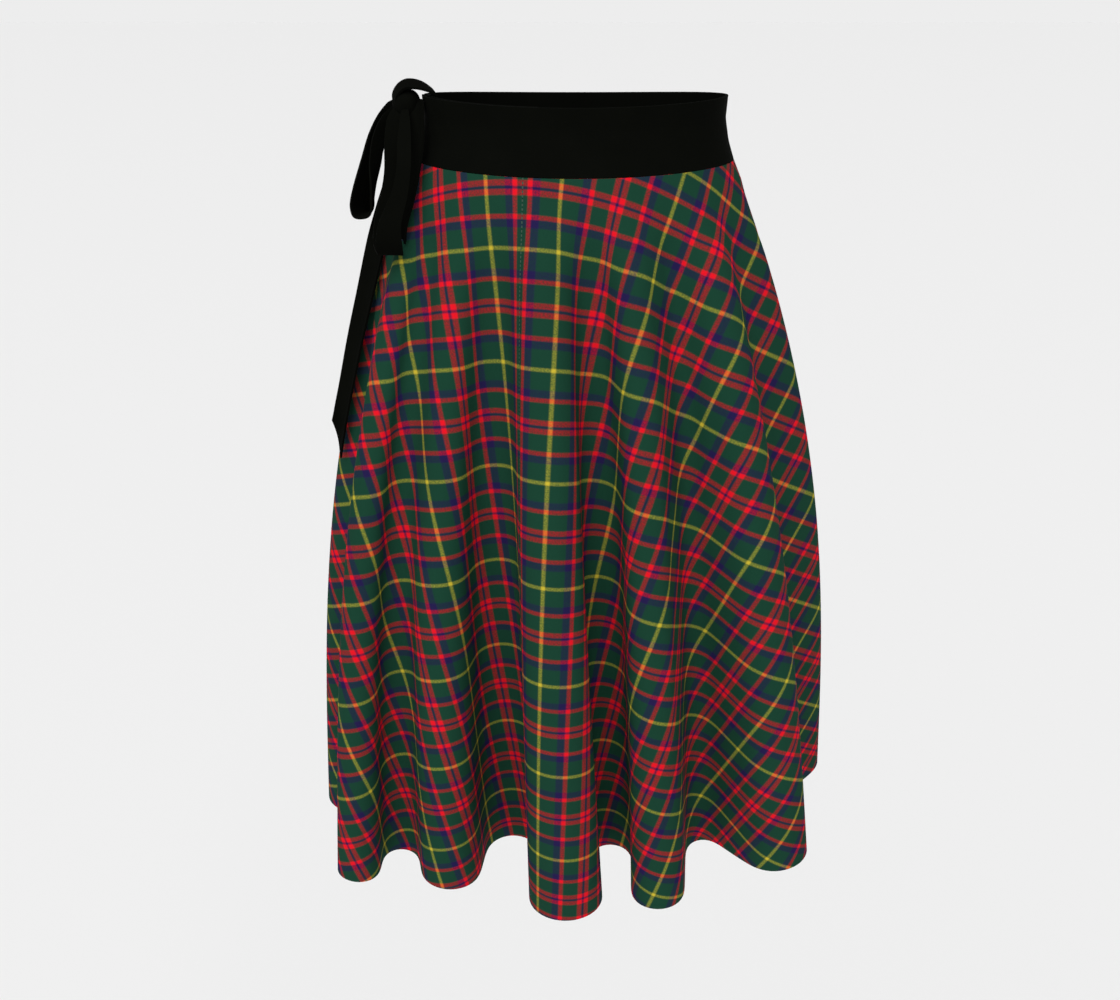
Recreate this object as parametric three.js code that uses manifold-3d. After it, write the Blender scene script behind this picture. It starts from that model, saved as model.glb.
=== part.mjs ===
// A knee-length wrap skirt with a black waistband tied in a bow over the right hip, open as if worn.
import * as THREE from "three";
import Module from "manifold-3d";

// Sizes are millimetres: +Z up, the front faces -Y, the origin is the centre of the waist.
const clothThickness = 1.2;
const bandThickness = 2.2;
const tieThickness = 2;
const seamGap = 0.3;

// The waist, an oval seen from above, where the cloth meets the waistband.
const waistHalfWidth = 129.6;
const waistHalfDepth = 90;
const waistSideRise = 4;
const bandBottom = -22.6;
const bandHeight = 49;

// The cloth hangs from the waist by this length, and its folds round off over this much hem.
const clothLength = 663.4;
const foldRounding = 30;
const loopPoints = 720;

// The folds at the hem, anticlockwise from above: the curve of each crest, then of the valley after it.
const folds = [
  { crestX: -6.5, crestY: -141, crestR: 35.5, valleyX: 38.5, valleyY: -90.5, valleyR: 22.5 },
  { crestX: 82, crestY: -137, crestR: 25.5, valleyX: 132.5, valleyY: -83, valleyR: 18 },
  { crestX: 202, crestY: -90.5, crestR: 32, valleyX: 230, valleyY: -33, valleyR: 19.5 },
  { crestX: 247, crestY: 35.5, crestR: 24.5, valleyX: 203.5, valleyY: 90, valleyR: 14.5 },
  { crestX: 205, crestY: 148, crestR: 28, valleyX: 150, valleyY: 136, valleyR: 20 },
  { crestX: 118, crestY: 190, crestR: 28, valleyX: 72, valleyY: 148, valleyR: 20 },
  { crestX: 22, crestY: 200, crestR: 28, valleyX: -28, valleyY: 150, valleyR: 20 },
  { crestX: -78, crestY: 190, crestR: 28, valleyX: -112, valleyY: 138, valleyR: 20 },
  { crestX: -163, crestY: 154, crestR: 28, valleyX: -166, valleyY: 94, valleyR: 20 },
  { crestX: -228, crestY: 70, crestR: 26, valleyX: -196, valleyY: 30, valleyR: 16 },
  { crestX: -233, crestY: -12, crestR: 25, valleyX: -229, valleyY: -54, valleyR: 14 },
  { crestX: -208, crestY: -120.5, crestR: 20.5, valleyX: -169.5, valleyY: -100, valleyR: 18.5 },
  { crestX: -119.5, crestY: -109, crestR: 29, valleyX: -60, valleyY: -82.5, valleyR: 27 },
];

// Places round the waist, in millimetres along it from the front seam, with the wrap running on inside.
const freeEdgeAtWaist = -133;
const freeEdgeAtHem = -98.7;
const freeEdgeBend = 2.2;
const frontSeamX = -40;
const seamBeforeFirstCrest = 59.8;
const rightSeam = 214;
const backSeam = 374;
const leftSeam = 534;
const underLapEnd = 700;
const bandLapEnd = 706;

// The inner layer of the wrap lies this far inside the outer one, and steps in over this much waist.
const lapDepth = 3.6;
const lapStep = 9;
const lapClear = 2;

// How far the hanging cloth swells out between waist and hem, at each side and in front.
const swellRight = 37.8;
const swellLeft = 30.1;
const swellFront = 17.8;
const swellHeight = 0.85;

// However far out the cloth goes, each step of it drops by at least this share of its length.
const steepestLean = 0.14;

// The folds start below the smooth hips and are then a little deeper than a straight flare's.
const smoothHips = 0.12;
const foldsAhead = 0.063;
const foldsAheadHigh = 0.45;
const foldsAveraged = 2.2;

// How finely the cloth is drawn: steps down each thread, rows, the width of a column and near points.
const hangSteps = 36;
const clothRows = 9;
const columnWidth = 3.9;
const bandColumns = 132;
const nearAlong = 0.8;
const nearDown = 0.02;
const curveDivisions = 4000;
const seamSearchSteps = 2000;

// The curve through the hem: arcs round the crests and valleys, joined by straight runs.
function hemLoop() {
  const circles = folds.flatMap((fold) => [
    { x: fold.crestX, y: fold.crestY, r: fold.crestR, turn: 1 },
    { x: fold.valleyX, y: fold.valleyY, r: fold.valleyR, turn: -1 },
  ]);
  const headings = circles.map((from, i) => {
    const to = circles[(i + 1) % circles.length];
    const reach = Math.hypot(to.x - from.x, to.y - from.y);
    const lean = Math.asin((to.turn * to.r - from.turn * from.r) / reach);
    return Math.atan2(to.y - from.y, to.x - from.x) - lean;
  });
  const path = new THREE.Path();
  circles.forEach((circle, i) => {
    const before = headings[(i + circles.length - 1) % circles.length];
    const quarter = (circle.turn * Math.PI) / 2;
    path.absarc(circle.x, circle.y, circle.r, before - quarter, headings[i] - quarter, circle.turn < 0);
  });
  path.closePath();
  return path.getSpacedPoints(loopPoints).slice(0, -1);
}

// The same loop with each point averaged with those that reach this many points to each side.
function averagedLoop(points, reach) {
  const count = points.length;
  return points.map((unused, i) => {
    const sum = new THREE.Vector3();
    let weights = 0;
    for (let k = -reach; k <= reach; k += 1) {
      const weight = 1 + Math.cos((Math.PI * k) / (reach + 1));
      const point = points[(i + k + count) % count];
      sum.add(new THREE.Vector3(point.x, point.y, 0).multiplyScalar(weight));
      weights += weight;
    }
    return sum.divideScalar(weights);
  });
}

// The hem, with its bends eased as cloth rounds them, and the flare, which is the hem without its folds.
const sharpHem = hemLoop();
const sharpPoints = sharpHem.map((point) => new THREE.Vector3(point.x, point.y, 0));
const sharpLength = new THREE.CatmullRomCurve3(sharpPoints, true).getLength();
const hemReach = Math.round((foldRounding / sharpLength) * loopPoints * 0.5);
const hemCurve = new THREE.CatmullRomCurve3(averagedLoop(sharpHem, hemReach), true);
hemCurve.arcLengthDivisions = curveDivisions;
const hemLength = hemCurve.getLength();
const hemRing = sharpHem.map((unused, i) => hemCurve.getPointAt(i / loopPoints));
const flareRing = averagedLoop(hemRing, Math.round((loopPoints / folds.length) * foldsAveraged * 0.5));
const waistCurve = new THREE.EllipseCurve(0, 0, waistHalfWidth, waistHalfDepth, 0, 2 * Math.PI);
waistCurve.arcLengthDivisions = curveDivisions;
const waistLength = waistCurve.getLength();

// Shares round each curve at which the front seam stands.
function shareNearest(curve, target) {
  const samples = Array.from({ length: seamSearchSteps }, (unused, i) => i / seamSearchSteps);
  const distance = (share) => {
    const point = curve.getPointAt(share);
    return Math.hypot(point.x - target.x, point.y - target.y);
  };
  return samples.reduce((best, share) => (distance(share) < distance(best) ? share : best));
}

const seamY = -waistHalfDepth * Math.sqrt(1 - (frontSeamX / waistHalfWidth) ** 2);
const waistSeamShare = shareNearest(waistCurve, { x: frontSeamX, y: seamY });
const firstCrest = { x: folds[0].crestX, y: folds[0].crestY - folds[0].crestR };
const hemSeamShare = shareNearest(hemCurve, firstCrest) - seamBeforeFirstCrest / hemLength;

const wrapShare = (share) => share - Math.floor(share);
const easeStep = (t) => {
  const clamped = Math.min(1, Math.max(0, t));
  return clamped * clamped * (3 - 2 * clamped);
};

// A point of the waist's edge and its level outward direction, at a place along the waist.
function waistPlace(along) {
  const point = waistCurve.getPointAt(wrapShare(waistSeamShare + along / waistLength));
  const outward = new THREE.Vector3(point.x / waistHalfWidth ** 2, point.y / waistHalfDepth ** 2, 0);
  outward.normalize();
  const z = bandBottom + waistSideRise * (point.x / waistHalfWidth) ** 2;
  return { point: new THREE.Vector3(point.x, point.y, z), outward };
}

// A point of a ring at a share of the way round it.
function ringPlace(ring, share) {
  const place = wrapShare(share) * loopPoints;
  const first = Math.floor(place);
  return ring[first % loopPoints].clone().lerp(ring[(first + 1) % loopPoints], place - first);
}

// How far out the cloth swells at a place on the waist.
function swellAt(top, outward) {
  const front = Math.max(0, -outward.y) ** 2;
  const right = 0.5 + 0.5 * Math.min(1, Math.max(-1, (2 * top.x) / waistHalfWidth));
  return (swellRight * right + swellLeft * (1 - right)) * (1 - front) + swellFront * front;
}

// The thread of cloth that hangs from one place on the waist, as points equally far apart down it.
function hangingThread(along) {
  const { point: top, outward } = waistPlace(along);
  const share = hemSeamShare + along / waistLength;
  const flare = ringPlace(flareRing, share).sub(top);
  const fold = ringPlace(hemRing, share).sub(flare).sub(top);
  const swell = swellAt(top, outward);
  const step = clothLength / hangSteps;
  const leastDrop = step * steepestLean;
  const thread = [];
  let z = top.z;
  for (let i = 0; i <= hangSteps; i += 1) {
    const down = i / hangSteps;
    const bow = swell * Math.sin(Math.PI * down ** swellHeight);
    const ahead = foldsAhead * Math.sin(Math.PI * down ** foldsAheadHigh);
    const folded = (down + ahead) * easeStep(down / smoothHips);
    const x = top.x + down * flare.x + folded * fold.x + bow * outward.x;
    const y = top.y + down * flare.y + folded * fold.y + bow * outward.y;
    if (i > 0) {
      const last = thread[i - 1];
      const level = Math.hypot(x - last.x, y - last.y);
      z -= Math.sqrt(Math.max(leastDrop ** 2, step ** 2 - level ** 2));
    }
    thread.push(new THREE.Vector3(x, y, z));
  }
  return thread;
}

function alongThread(thread, down) {
  const place = down * hangSteps;
  const first = Math.min(hangSteps - 1, Math.floor(place));
  return thread[first].clone().lerp(thread[first + 1], place - first);
}

// The free edge of the over-wrap, cut straight from the waist to the hem.
function freeEdge(down) {
  const share = (1 - Math.exp(-freeEdgeBend * down)) / (1 - Math.exp(-freeEdgeBend));
  return freeEdgeAtWaist + (freeEdgeAtHem - freeEdgeAtWaist) * share;
}

// How far inside the outer layer the cloth lies: nothing until the over-wrap covers it.
function tuckedIn(along, down) {
  const start = freeEdge(down) + waistLength - lapStep - lapClear;
  return lapDepth * easeStep((along - start) / lapStep);
}

// A point on the middle of the cloth and its outward normal.
function clothPlace(along, down) {
  const left = hangingThread(along - nearAlong);
  const right = hangingThread(along + nearAlong);
  const low = Math.min(1, down + nearDown);
  const high = Math.max(0, down - nearDown);
  const across = alongThread(right, down).sub(alongThread(left, down));
  const thread = hangingThread(along);
  const drop = alongThread(thread, low).sub(alongThread(thread, high));
  const normal = drop.cross(across).normalize();
  const point = alongThread(thread, down).addScaledVector(normal, -tuckedIn(along, down));
  return { point, normal };
}

// A closed shape from its corners and the triangles between them.
function closedShape(positions, index) {
  const geometry = new THREE.BufferGeometry();
  geometry.setAttribute("position", new THREE.Float32BufferAttribute(positions, 3));
  geometry.setIndex(index);
  geometry.computeVertexNormals();
  return geometry;
}

// A closed wall from a grid of middle points and normals, half its thickness to each side.
function wallFrom(places, thickness) {
  const rows = places.length;
  const columns = places[0].length;
  const positions = [];
  const index = [];
  for (const side of [0.5, -0.5]) {
    for (const row of places) {
      for (const { point, normal } of row) {
        const moved = point.clone().addScaledVector(normal, side * thickness);
        positions.push(moved.x, moved.y, moved.z);
      }
    }
  }
  const at = (side, row, column) => (side * rows + row) * columns + column;
  const quad = (a, b, c, d) => index.push(a, b, c, a, c, d);
  for (let r = 0; r < rows - 1; r += 1) {
    for (let c = 0; c < columns - 1; c += 1) {
      quad(at(0, r, c), at(0, r + 1, c), at(0, r + 1, c + 1), at(0, r, c + 1));
      quad(at(1, r, c), at(1, r, c + 1), at(1, r + 1, c + 1), at(1, r + 1, c));
    }
    quad(at(0, r, 0), at(1, r, 0), at(1, r + 1, 0), at(0, r + 1, 0));
    quad(at(0, r, columns - 1), at(0, r + 1, columns - 1), at(1, r + 1, columns - 1), at(1, r, columns - 1));
  }
  for (let c = 0; c < columns - 1; c += 1) {
    quad(at(0, 0, c), at(0, 0, c + 1), at(1, 0, c + 1), at(1, 0, c));
    quad(at(0, rows - 1, c), at(1, rows - 1, c), at(1, rows - 1, c + 1), at(0, rows - 1, c + 1));
  }
  return closedShape(positions, index);
}

// A panel of cloth between two edges, each a function of how far down the cloth it is.
function clothPanel(fromEdge, toEdge) {
  const columns = Math.ceil((toEdge(0) - fromEdge(0)) / columnWidth);
  const places = [];
  for (let r = 0; r <= clothRows; r += 1) {
    const down = (seamGap / clothLength) + (r / clothRows) * (1 - seamGap / clothLength);
    const row = [];
    for (let c = 0; c <= columns; c += 1) {
      const along = fromEdge(down) + (c / columns) * (toEdge(down) - fromEdge(down));
      const place = clothPlace(along, down);
      const levelTop = waistPlace(along).outward;
      row.push(r === 0 ? { point: place.point, normal: levelTop } : place);
    }
    places.push(row);
  }
  return wallFrom(places, clothThickness);
}

// Half of a seam's gap, in millimetres of waist, at a distance down the cloth.
const halfGap = (down) => (seamGap / 2) * (waistLength / (waistLength + down * (hemLength - waistLength)));
const seamBefore = (place) => (down) => place - halfGap(down);
const seamAfter = (place) => (down) => place + halfGap(down);

// The waistband, narrowest a third of the way down it, as one strip that runs on inside itself.
const bandLevels = [
  { height: 0, bulge: -0.5 },
  { height: 0.3, bulge: -5.6 },
  { height: 0.65, bulge: -8.9 },
  { height: 1, bulge: -8 },
];

// The band reaches a little past the cloth's free edge, and its inner layer lies deeper than the cloth's.
const bandPastCloth = 1;
const bandTuck = 1.2;

function waistbandWall() {
  const start = freeEdgeAtWaist - bandPastCloth;
  const places = bandLevels.map(({ height, bulge }) => {
    const row = [];
    for (let c = 0; c <= bandColumns; c += 1) {
      const along = start + (c / bandColumns) * (bandLapEnd - start);
      const { point, outward } = waistPlace(along);
      const tuck = tuckedIn(along, 0) * bandTuck;
      const middle = point.clone().addScaledVector(outward, bulge - tuck);
      middle.z += height * bandHeight;
      row.push({ point: middle, normal: outward });
    }
    return row;
  });
  return wallFrom(places.reverse(), bandThickness);
}

// A tie as a strip along a smooth line: each stop is a place, the strip's width there and its direction.
function tieStrip(stops, lengthSteps, widthSteps, fold) {
  const middlePoints = stops.map((stop) => new THREE.Vector3(stop.x, stop.y, stop.z));
  const widthArrows = stops.map((stop) => new THREE.Vector3(stop.wx, stop.wy, stop.wz));
  const middles = new THREE.CatmullRomCurve3(middlePoints, false, "centripetal");
  const sides = new THREE.CatmullRomCurve3(widthArrows, false, "centripetal");
  const places = [];
  for (let w = 0; w <= widthSteps; w += 1) {
    const row = [];
    for (let l = 0; l <= lengthSteps; l += 1) {
      const t = l / lengthSteps;
      const side = sides.getPoint(t);
      const run = middles.getTangent(t);
      const normal = side.clone().cross(run).normalize();
      const share = w / widthSteps - 0.5;
      const point = middles.getPoint(t).addScaledVector(side, share);
      point.addScaledVector(normal, fold * Math.cos(Math.PI * share));
      const slope = (Math.sin(Math.PI * share) * fold * Math.PI) / side.length();
      const lean = side.clone().normalize().multiplyScalar(slope);
      row.push({ point, normal: normal.add(lean).normalize() });
    }
    places.push(row);
  }
  return wallFrom(places, tieThickness);
}

// The outer loop of the bow, which hangs clear of the hip.
const outerLoopStops = [
  { x: -139, y: -8, z: 26.5, wx: 7, wy: -4, wz: -2.5 },
  { x: -146, y: -3, z: 23, wx: 8, wy: -2, wz: -3.5 },
  { x: -153.5, y: 0.5, z: 14, wx: 9, wy: 7, wz: -3.5 },
  { x: -161, y: 2, z: -2, wx: 11, wy: 16, wz: -5 },
  { x: -169, y: 3, z: -24, wx: 11, wy: 22, wz: -6 },
  { x: -176.5, y: 3, z: -47, wx: 12.5, wy: 22, wz: -7.5 },
  { x: -179, y: 4, z: -58.5, wx: 14.5, wy: 20, wz: -6 },
  { x: -178.5, y: 2, z: -64, wx: 11, wy: 22, wz: 0.5 },
  { x: -172, y: -6, z: -63, wx: 3.5, wy: 20, wz: 3 },
  { x: -167, y: -15, z: -57.5, wx: 0.5, wy: 14, wz: 4 },
  { x: -166, y: -16, z: -50, wx: 0.5, wy: 12, wz: 3 },
  { x: -164.5, y: -14.5, z: -37.5, wx: 2.5, wy: 11, wz: 1.5 },
  { x: -161.5, y: -14.5, z: -19.5, wx: 8.5, wy: 7, wz: 0.5 },
  { x: -157, y: -14.5, z: 0.5, wx: 9.5, wy: 5, wz: 1 },
  { x: -147.5, y: -15, z: 18, wx: 10, wy: 2, wz: 3 },
  { x: -139, y: -14, z: 25.5, wx: 6.5, wy: 0, wz: 1.5 },
];

// The front loop, nearer the viewer and leaning a little to the front.
const frontLoopStops = [
  { x: -138, y: -16.5, z: 24, wx: 6, wy: -3, wz: -2 },
  { x: -142.5, y: -24.5, z: 13.5, wx: 11.5, wy: 1, wz: -1.5 },
  { x: -143.5, y: -34, z: -5.5, wx: 13, wy: 4, wz: -2 },
  { x: -144, y: -41.5, z: -25.5, wx: 12.5, wy: 5, wz: -3 },
  { x: -147.5, y: -50, z: -44.5, wx: 12.5, wy: 4, wz: -3.5 },
  { x: -152, y: -58, z: -64.5, wx: 13.5, wy: 4, wz: -4.5 },
  { x: -149, y: -63.5, z: -78, wx: 20, wy: 3, wz: -1.5 },
  { x: -145.5, y: -70, z: -83, wx: 19.5, wy: 4, wz: -1 },
  { x: -145, y: -77, z: -74.5, wx: 20, wy: 4, wz: -2.5 },
  { x: -143.5, y: -77.5, z: -59, wx: 17, wy: 3, wz: -2 },
  { x: -136, y: -71.5, z: -38, wx: 13, wy: 3, wz: -0.5 },
  { x: -132.5, y: -62, z: -19.5, wx: 11, wy: 2, wz: 1 },
  { x: -132.5, y: -49, z: 0, wx: 10.5, wy: 2, wz: 1.5 },
  { x: -133, y: -34, z: 15, wx: 7.5, wy: 2, wz: 2 },
  { x: -134.5, y: -19, z: 22, wx: 4.5, wy: 2, wz: 1.5 },
];

// The long tail, folded along its length and slanting back to a pointed end.
const longTailStops = [
  { x: -136.5, y: -7.5, z: 17, wx: 3.5, wy: -3, wz: -0.5 },
  { x: -141, y: 1.5, z: 5.5, wx: 6.5, wy: -5, wz: -0.5 },
  { x: -147, y: 10, z: -14.5, wx: 9.5, wy: -8, wz: -0.5 },
  { x: -153.5, y: 7, z: -39, wx: 12, wy: -10, wz: -2 },
  { x: -160.5, y: -2, z: -60.5, wx: 12.5, wy: -12, wz: -3 },
  { x: -166.2, y: -14.5, z: -86, wx: 15.5, wy: -12.5, wz: -5 },
  { x: -177.5, y: -21, z: -127.5, wx: 14.5, wy: -14, wz: -5 },
  { x: -188.5, y: -25, z: -167, wx: 13, wy: -14, wz: -7.5 },
  { x: -197.5, y: -27, z: -202, wx: 12.5, wy: -14, wz: -7 },
  { x: -206, y: -29, z: -235, wx: 11.5, wy: -10, wz: -10.5 },
  { x: -211, y: -28.5, z: -255.5, wx: 6.5, wy: -7, wz: -33.5 },
];

// The short tail, behind the front loop and close to the cloth.
const shortTailStops = [
  { x: -131.5, y: -11, z: 25.5, wx: 5, wy: 0, wz: 1 },
  { x: -125.2, y: -19, z: 27, wx: 9, wy: -6, wz: 2 },
  { x: -124.6, y: -28, z: 15, wx: 11, wy: -8, wz: 1.5 },
  { x: -125, y: -37, z: -0.5, wx: 12, wy: -8, wz: 1 },
  { x: -127, y: -45, z: -19.5, wx: 11, wy: -6, wz: -1.5 },
  { x: -131, y: -52.5, z: -42, wx: 8.5, wy: -5, wz: -3 },
  { x: -135.5, y: -56, z: -61.5, wx: 4.5, wy: -4, wz: -4 },
  { x: -137, y: -58.5, z: -75, wx: 3.5, wy: -3, wz: -4 },
];

// The strand that comes from inside the waistband, over its rim and into the knot.
const overStrandStops = [
  { x: -109.5, y: -13, z: 16, wx: -3, wy: 14, wz: 0 },
  { x: -109.5, y: -13, z: 26, wx: -3, wy: 14, wz: 0 },
  { x: -111, y: -13.5, z: 32, wx: -3, wy: 14, wz: 1 },
  { x: -116, y: -14.5, z: 35.5, wx: -1.5, wy: 13, wz: 3 },
  { x: -122, y: -15.5, z: 38, wx: 0, wy: 13, wz: 4.5 },
  { x: -127.5, y: -15.5, z: 39, wx: 0, wy: 13, wz: 5.5 },
  { x: -133, y: -15.5, z: 39, wx: -2, wy: 13, wz: 5.5 },
  { x: -138.5, y: -16, z: 36, wx: -3.5, wy: 12, wz: 4.5 },
  { x: -142.5, y: -16, z: 30, wx: -4, wy: 11, wz: 2.5 },
  { x: -142, y: -15, z: 24, wx: -3, wy: 9, wz: 1 },
  { x: -137, y: -12, z: 20, wx: -1.5, wy: 6, wz: 1 },
];

// The ties that run out of the knot: how finely each is drawn, and how deeply it is folded lengthwise.
const ties = [
  { name: "over_strand", stops: overStrandStops, lengthSteps: 14, widthSteps: 2, fold: 0 },
  { name: "outer_loop", stops: outerLoopStops, lengthSteps: 36, widthSteps: 2, fold: 0 },
  { name: "front_loop", stops: frontLoopStops, lengthSteps: 36, widthSteps: 2, fold: 0 },
  { name: "long_tail", stops: longTailStops, lengthSteps: 20, widthSteps: 6, fold: 3 },
  { name: "short_tail", stops: shortTailStops, lengthSteps: 14, widthSteps: 4, fold: 2 },
];

// The knot: a rounded block, squarer than a ball, with a strand wrapped round its middle.
const knotCentre = { x: -134, y: -13, z: 23 };
const knotHalf = { x: 10, y: 11, z: 10.8 };
const knotSquareness = 0.8;
const knotStrandSwell = 0.14;
const knotStrandNarrowness = 2.4;
const knotRings = 12;
const knotColumns = 20;

function knotBody(extra) {
  const rings = knotRings;
  const around = knotColumns;
  const positions = [];
  const index = [];
  const softened = (value) => Math.sign(value) * Math.abs(value) ** knotSquareness;
  const place = (x, y, z) => positions.push(knotCentre.x + x, knotCentre.y + y, knotCentre.z + z);
  for (let r = 1; r < rings; r += 1) {
    const tilt = (Math.PI * r) / rings;
    const strand = 1 + knotStrandSwell * Math.exp(-((Math.cos(tilt) * knotStrandNarrowness) ** 2));
    for (let a = 0; a < around; a += 1) {
      const turn = (2 * Math.PI * a) / around;
      const x = (knotHalf.x * strand + extra) * softened(Math.sin(tilt) * Math.cos(turn));
      const z = (knotHalf.z * strand + extra) * softened(Math.sin(tilt) * Math.sin(turn));
      place(x, -(knotHalf.y + extra) * softened(Math.cos(tilt)), z);
    }
  }
  const front = positions.length / 3;
  place(0, -knotHalf.y - extra, 0);
  place(0, knotHalf.y + extra, 0);
  const at = (ring, turn) => ring * around + (turn % around);
  for (let a = 0; a < around; a += 1) {
    index.push(front, at(0, a), at(0, a + 1));
    index.push(front + 1, at(rings - 2, a + 1), at(rings - 2, a));
    for (let r = 0; r < rings - 2; r += 1) {
      index.push(at(r, a), at(r + 1, a), at(r + 1, a + 1));
      index.push(at(r, a), at(r + 1, a + 1), at(r, a + 1));
    }
  }
  return closedShape(positions, index);
}

// Each tie runs into the knot, so it is cut off a seam's gap short of the knot's surface.
const solids = await Module();
solids.setup();

function solidFrom(geometry) {
  const vertProperties = new Float32Array(geometry.getAttribute("position").array);
  const triVerts = new Uint32Array(geometry.getIndex().array);
  return new solids.Manifold(new solids.Mesh({ numProp: 3, vertProperties, triVerts }));
}

function endedAtKnot(tie) {
  const cut = solidFrom(tie).subtract(solidFrom(knotBody(seamGap)));
  const mesh = cut.getMesh();
  const positions = [];
  for (let v = 0; v < mesh.numVert; v += 1) {
    positions.push(...mesh.vertProperties.slice(v * mesh.numProp, v * mesh.numProp + 3));
  }
  return closedShape(positions, Array.from(mesh.triVerts));
}

// Tartan cloth and the black cloth of the waistband and ties.
const tartanCloth = new THREE.MeshStandardMaterial({ color: "#2d3b3a", roughness: 0.85, metalness: 0 });
const blackCloth = new THREE.MeshStandardMaterial({ color: "#0b0b0a", roughness: 0.8, metalness: 0 });

const skirt = new THREE.Group();
function addPiece(name, geometry, material) {
  const mesh = new THREE.Mesh(geometry, material);
  mesh.name = name;
  skirt.add(mesh);
}

addPiece("front_left_panel", clothPanel(freeEdge, seamBefore(0)), tartanCloth);
addPiece("front_right_panel", clothPanel(seamAfter(0), seamBefore(rightSeam)), tartanCloth);
addPiece("back_right_panel", clothPanel(seamAfter(rightSeam), seamBefore(backSeam)), tartanCloth);
addPiece("back_left_panel", clothPanel(seamAfter(backSeam), seamBefore(leftSeam)), tartanCloth);
addPiece("under_wrap_panel", clothPanel(seamAfter(leftSeam), () => underLapEnd), tartanCloth);
addPiece("waistband", waistbandWall(), blackCloth);
addPiece("tie_knot", knotBody(0), blackCloth);
for (const { name, stops, lengthSteps, widthSteps, fold } of ties) {
  addPiece(name, endedAtKnot(tieStrip(stops, lengthSteps, widthSteps, fold)), blackCloth);
}

export default skirt;
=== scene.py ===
import math

import bpy
import numpy as np
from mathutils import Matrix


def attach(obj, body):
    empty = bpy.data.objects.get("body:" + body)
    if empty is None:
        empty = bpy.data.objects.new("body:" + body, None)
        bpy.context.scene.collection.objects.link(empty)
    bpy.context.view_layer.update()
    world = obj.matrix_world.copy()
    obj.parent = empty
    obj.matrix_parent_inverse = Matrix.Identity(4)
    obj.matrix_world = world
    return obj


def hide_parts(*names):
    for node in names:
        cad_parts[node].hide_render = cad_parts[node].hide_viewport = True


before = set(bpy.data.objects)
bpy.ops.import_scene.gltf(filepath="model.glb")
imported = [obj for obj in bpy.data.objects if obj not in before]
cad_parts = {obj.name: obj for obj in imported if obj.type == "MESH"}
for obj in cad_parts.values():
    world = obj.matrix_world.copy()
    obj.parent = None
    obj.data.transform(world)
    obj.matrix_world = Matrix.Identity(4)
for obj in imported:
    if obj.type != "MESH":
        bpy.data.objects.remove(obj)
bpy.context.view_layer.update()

# THE TARTAN SKIRT
# Five panels of printed twill, cut from a ring of a little over half a circle and hung in deep folds.
# Sizes are millimetres, +Z up, with the front facing -Y and the origin at the centre of the waist.

CLOTH_THICKNESS = 1.0
CLOTH_LENGTH = 663.4
SEAM_GAP = 0.3
WAIST_HALF_WIDTH = 129.6
WAIST_HALF_DEPTH = 90.0
WAIST_SIDE_RISE = 4.0
BAND_BOTTOM = -22.6
FRONT_SEAM_X = -40.0
SEAM_BEFORE_FIRST_CREST = 59.8
FREE_EDGE_AT_WAIST = -133.0
FREE_EDGE_AT_HEM = -98.7
FREE_EDGE_BEND = 2.2
FOLD_ROUNDING = 30.0
SWELL_RIGHT = 37.8
SWELL_LEFT = 30.1
SWELL_FRONT = 17.8
SWELL_HEIGHT = 0.85
SMOOTH_HIPS = 0.12
FOLDS_AHEAD = 0.063
FOLDS_AHEAD_HIGH = 0.45
FOLDS_AVERAGED = 2.2
HANG_STEPS = 36
LOOP_POINTS = 720
ARC_POINTS = 60
WAIST_POINTS = 4000
SEARCH_POINTS = 2000

# The folds at the hem, anticlockwise from above: each crest's curve, then the valley after it.
FOLDS = [
    {"crest": (-6.5, -141), "crest_r": 35.5, "valley": (38.5, -90.5), "valley_r": 22.5},
    {"crest": (82, -137), "crest_r": 25.5, "valley": (132.5, -83), "valley_r": 18},
    {"crest": (202, -90.5), "crest_r": 32, "valley": (230, -33), "valley_r": 19.5},
    {"crest": (247, 35.5), "crest_r": 24.5, "valley": (203.5, 90), "valley_r": 14.5},
    {"crest": (205, 148), "crest_r": 28, "valley": (150, 136), "valley_r": 20},
    {"crest": (118, 190), "crest_r": 28, "valley": (72, 148), "valley_r": 20},
    {"crest": (22, 200), "crest_r": 28, "valley": (-28, 150), "valley_r": 20},
    {"crest": (-78, 190), "crest_r": 28, "valley": (-112, 138), "valley_r": 20},
    {"crest": (-163, 154), "crest_r": 28, "valley": (-166, 94), "valley_r": 20},
    {"crest": (-228, 70), "crest_r": 26, "valley": (-196, 30), "valley_r": 16},
    {"crest": (-233, -12), "crest_r": 25, "valley": (-229, -54), "valley_r": 14},
    {"crest": (-208, -120.5), "crest_r": 20.5, "valley": (-169.5, -100), "valley_r": 18.5},
    {"crest": (-119.5, -109), "crest_r": 29, "valley": (-60, -82.5), "valley_r": 27},
]


def arc_lengths(points):
    """Distance along a closed line of points, from 0 to the whole way round."""
    steps = np.linalg.norm(np.roll(points, -1, axis=0) - points, axis=1)
    return np.concatenate([[0.0], np.cumsum(steps)])


def at_share(points, share):
    """The places at shares of the way round a closed line of points."""
    lengths = arc_lengths(points)
    closed = np.vstack([points, points[:1]])
    place = np.mod(share, 1.0) * lengths[-1]
    return np.stack([np.interp(place, lengths, closed[:, k]) for k in range(2)], axis=-1)


def averaged(ring, reach):
    """A ring of points with each one averaged with those up to this many points to each side."""
    shifts = range(-reach, reach + 1)
    weights = [1 + math.cos(math.pi * k / (reach + 1)) for k in shifts]
    return sum(w * np.roll(ring, -k, axis=0) for w, k in zip(weights, shifts)) / sum(weights)


def ring_place(ring, share):
    """The places at shares of the way round a ring, counted by its points."""
    place = np.mod(share, 1.0) * LOOP_POINTS
    first = place.astype(int) % LOOP_POINTS
    part = (place - np.floor(place))[..., None]
    return ring[first] * (1 - part) + ring[(first + 1) % LOOP_POINTS] * part


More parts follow.
